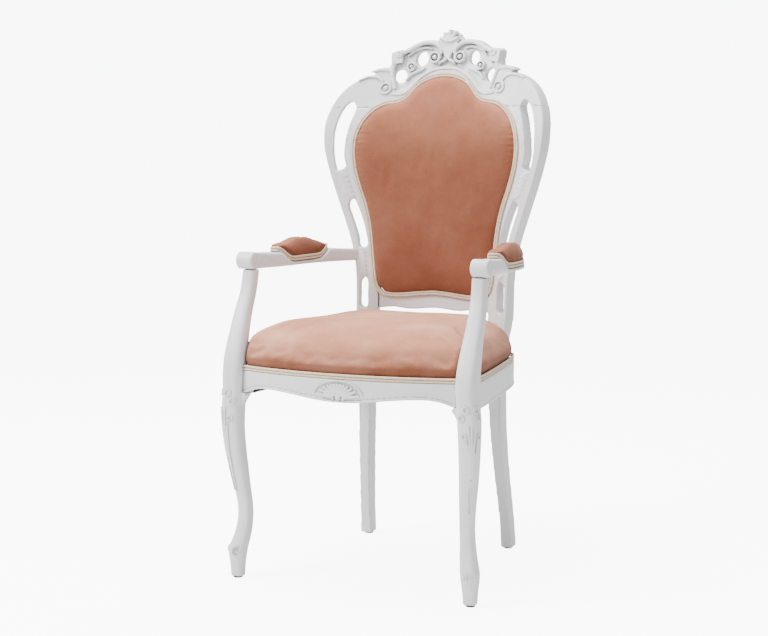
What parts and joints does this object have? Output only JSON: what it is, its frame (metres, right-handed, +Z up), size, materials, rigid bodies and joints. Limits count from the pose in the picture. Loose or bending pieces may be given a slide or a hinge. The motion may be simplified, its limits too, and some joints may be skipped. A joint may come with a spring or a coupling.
{
  "type": "carved painted armchair",
  "caption": "Open armchair with a carved openwork crest, pierced back stiles and cabriole legs, painted white, with padded seat, back and arms.",
  "frame": {"origin": "on the floor under the middle of the chair's bounding box", "axes": "+Z up, +Y towards the back of the chair, +X to the right of someone facing it"},
  "size_m": [0.549, 0.5974, 1.12],
  "materials": {
    "painted_wood": "white paint, satin, with a faint grey patina in the carving",
    "suede": "salmon suede, matt with a brushed nap",
    "gimp": "cream braid of two cords",
    "beech": "bare beech",
    "webbing": "woven jute",
    "dust_cover": "black cloth, matt",
    "glide": "black nylon"
  },
  "bodies": {
    "root": {"front_leg_right": "painted_wood", "front_leg_left": "painted_wood", "rear_stile_right": "painted_wood", "rear_stile_left": "painted_wood", "crest_rail": "painted_wood", "back_lower_rail": "painted_wood", "front_seat_rail": "painted_wood", "side_seat_rail_right": "painted_wood", "side_seat_rail_left": "painted_wood", "rear_seat_rail": "painted_wood", "arm_right": "painted_wood", "arm_left": "painted_wood", "seat_pad": "suede", "seat_gimp_front": "gimp", "seat_gimp_side_right": "gimp", "seat_gimp_side_left": "gimp", "seat_gimp_rear": "gimp", "back_pad": "suede", "outside_back_panel": "suede", "back_gimp_front": "gimp", "back_gimp_rear": "gimp", "arm_pad_right": "suede", "arm_pad_left": "suede", "arm_gimp_right": "gimp", "arm_gimp_left": "gimp", "webbing_cross_1": "webbing", "webbing_cross_2": "webbing", "webbing_cross_3": "webbing", "webbing_long_1": "webbing", "webbing_long_2": "webbing", "webbing_long_3": "webbing", "dust_cover": "dust_cover", "front_corner_block_right": "beech", "front_corner_block_left": "beech", "rear_corner_block_right": "beech", "rear_corner_block_left": "beech", "front_glide_right": "glide", "front_glide_left": "glide", "rear_glide_right": "glide", "rear_glide_left": "glide"}
  },
  "joints": []
}
